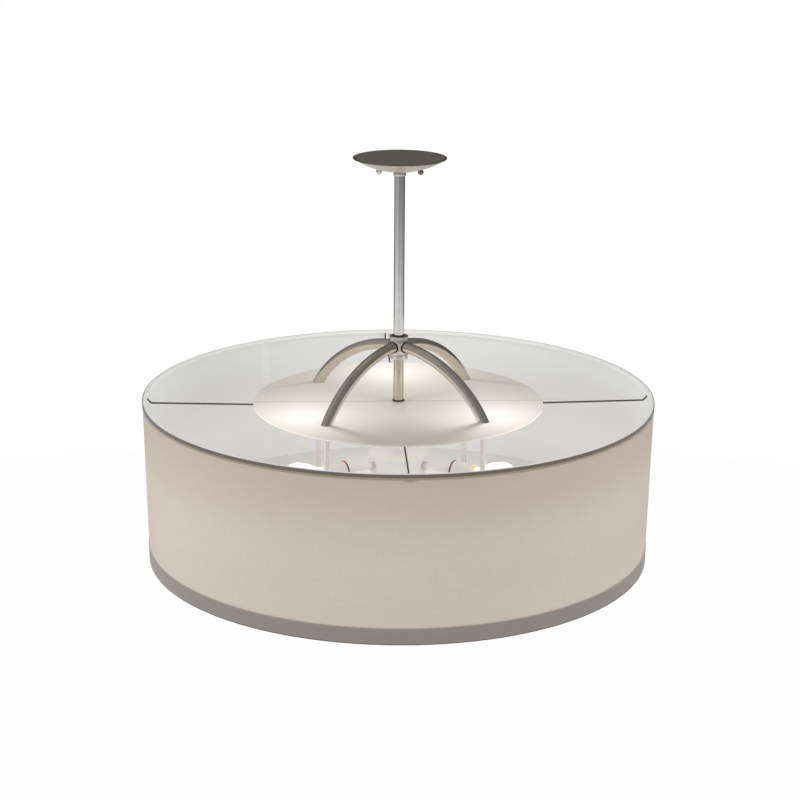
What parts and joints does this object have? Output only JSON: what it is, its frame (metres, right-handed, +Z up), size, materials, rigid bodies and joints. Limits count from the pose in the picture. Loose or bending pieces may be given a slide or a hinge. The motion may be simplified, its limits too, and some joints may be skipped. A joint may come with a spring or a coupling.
{
  "type": "drum shade chandelier",
  "caption": "Semi-flush ceiling chandelier: a linen drum shade on a straight stem, with bent arms, a pale disc above the lamps and an opal disc in the bottom.",
  "frame": {"origin": "middle of the flat top face of the ceiling plate, which lies against the ceiling", "axes": "+Z up into the ceiling, along the stem; +X to the right and +Y away from the camera in the picture"},
  "size_m": [0.9144, 0.9144, 0.7222],
  "materials": {
    "brushed_nickel": "satin nickel plate, fine brushing",
    "dark_plate": "dark bronze, low sheen",
    "plated_steel": "zinc plate, satin",
    "black_rubber": "matte",
    "white_enamel": "white enamel, semi-gloss",
    "opal_acrylic": "opal sheet, satin gloss",
    "shade_linen": "woven linen, matte",
    "trim_tape": "woven tape, matte",
    "white_liner": "white styrene sheet, satin",
    "dark_wire": "dark lacquered steel wire",
    "red_fibre": "vulcanised fibre, matte",
    "socket_plastic": "moulded, satin gloss",
    "nickel_brass": "nickel-plated brass",
    "lit_glass": "white coated glass, lit"
  },
  "bodies": {
    "canopy_mount": {"ceiling_plate": "dark_plate", "ball_nut_1": "brushed_nickel", "ball_nut_2": "brushed_nickel", "canopy": "brushed_nickel", "swivel_cup": "plated_steel"},
    "swivel": {"swivel_washer": "plated_steel"},
    "fixture": {"swivel_ball": "plated_steel", "stem_lock_nut": "plated_steel", "stem_collar": "brushed_nickel", "stem": "brushed_nickel", "hub_ring": "black_rubber", "hub": "brushed_nickel", "arm_1": "brushed_nickel", "arm_2": "brushed_nickel", "arm_3": "brushed_nickel", "arm_4": "brushed_nickel", "lower_stem": "brushed_nickel", "stem_gasket": "black_rubber", "centre_nipple": "plated_steel", "disc_lock_nut": "plated_steel", "reflector_disc": "opal_acrylic", "bottom_diffuser": "opal_acrylic", "rod_1": "white_enamel", "rod_2": "white_enamel", "rod_3": "white_enamel", "rod_4": "white_enamel", "diffuser_nut_1": "brushed_nickel", "diffuser_nut_2": "brushed_nickel", "diffuser_nut_3": "brushed_nickel", "diffuser_nut_4": "brushed_nickel", "cluster_pipe": "white_enamel", "cluster_cap": "white_enamel", "cluster_cup": "white_enamel", "lamp_nut_1": "white_enamel", "lamp_nut_2": "white_enamel", "lamp_nut_3": "white_enamel", "lamp_nipple_1": "white_enamel", "lamp_nipple_2": "white_enamel", "lamp_nipple_3": "white_enamel", "socket_end_ring_1": "red_fibre", "socket_end_ring_2": "red_fibre", "socket_end_ring_3": "red_fibre", "socket_1": "socket_plastic", "socket_2": "socket_plastic", "socket_3": "socket_plastic", "shade_spider": "dark_wire", "shade_bottom_ring": "dark_wire", "shade_fabric": "shade_linen", "shade_liner": "white_liner", "top_trim": "trim_tape", "bottom_trim": "trim_tape"},
    "bulb_carrier_1": {"bulb_contact_1": "nickel_brass"},
    "bulb_carrier_2": {"bulb_contact_2": "nickel_brass"},
    "bulb_carrier_3": {"bulb_contact_3": "nickel_brass"},
    "bulb_1": {"bulb_base_1": "nickel_brass", "bulb_globe_1": "lit_glass"},
    "bulb_2": {"bulb_base_2": "nickel_brass", "bulb_globe_2": "lit_glass"},
    "bulb_3": {"bulb_base_3": "nickel_brass", "bulb_globe_3": "lit_glass"}
  },
  "joints": [
    {"name": "hang_tilt_x", "type": "hinge", "parent": "canopy_mount", "child": "swivel", "pos_m": [0, 0, -0.01488], "axis": [1, 0, 0], "range_deg": [-6, 6]},
    {"name": "hang_tilt_y", "type": "hinge", "parent": "swivel", "child": "fixture", "pos_m": [0, 0, -0.01488], "axis": [0, 1, 0], "range_deg": [-6, 6]},
    {"name": "bulb_1_travel", "type": "slide", "parent": "fixture", "child": "bulb_carrier_1", "axis": [-0.0349, 0.9994, 0], "range_m": [0, 0.01815]},
    {"name": "bulb_1_turn", "type": "hinge", "parent": "bulb_carrier_1", "child": "bulb_1", "pos_m": [-0.00455, 0.13042, -0.55453], "axis": [-0.0349, 0.9994, 0], "range_deg": [0, 1800]},
    {"name": "bulb_2_travel", "type": "slide", "parent": "fixture", "child": "bulb_carrier_2", "axis": [-0.848, -0.5299, 0], "range_m": [0, 0.01815]},
    {"name": "bulb_2_turn", "type": "hinge", "parent": "bulb_carrier_2", "child": "bulb_2", "pos_m": [-0.11067, -0.06915, -0.55453], "axis": [-0.848, -0.5299, 0], "range_deg": [0, 1800]},
    {"name": "bulb_3_travel", "type": "slide", "parent": "fixture", "child": "bulb_carrier_3", "axis": [0.8829, -0.4695, 0], "range_m": [0, 0.01815]},
    {"name": "bulb_3_turn", "type": "hinge", "parent": "bulb_carrier_3", "child": "bulb_3", "pos_m": [0.11522, -0.06127, -0.55453], "axis": [0.8829, -0.4695, 0], "range_deg": [0, 1800]}
  ],
  "couplings": [
    {"joint": "bulb_1_travel", "follows": "bulb_1_turn", "m_per_rad": 0.00057751},
    {"joint": "bulb_2_travel", "follows": "bulb_2_turn", "m_per_rad": 0.00057751},
    {"joint": "bulb_3_travel", "follows": "bulb_3_turn", "m_per_rad": 0.00057751}
  ]
}
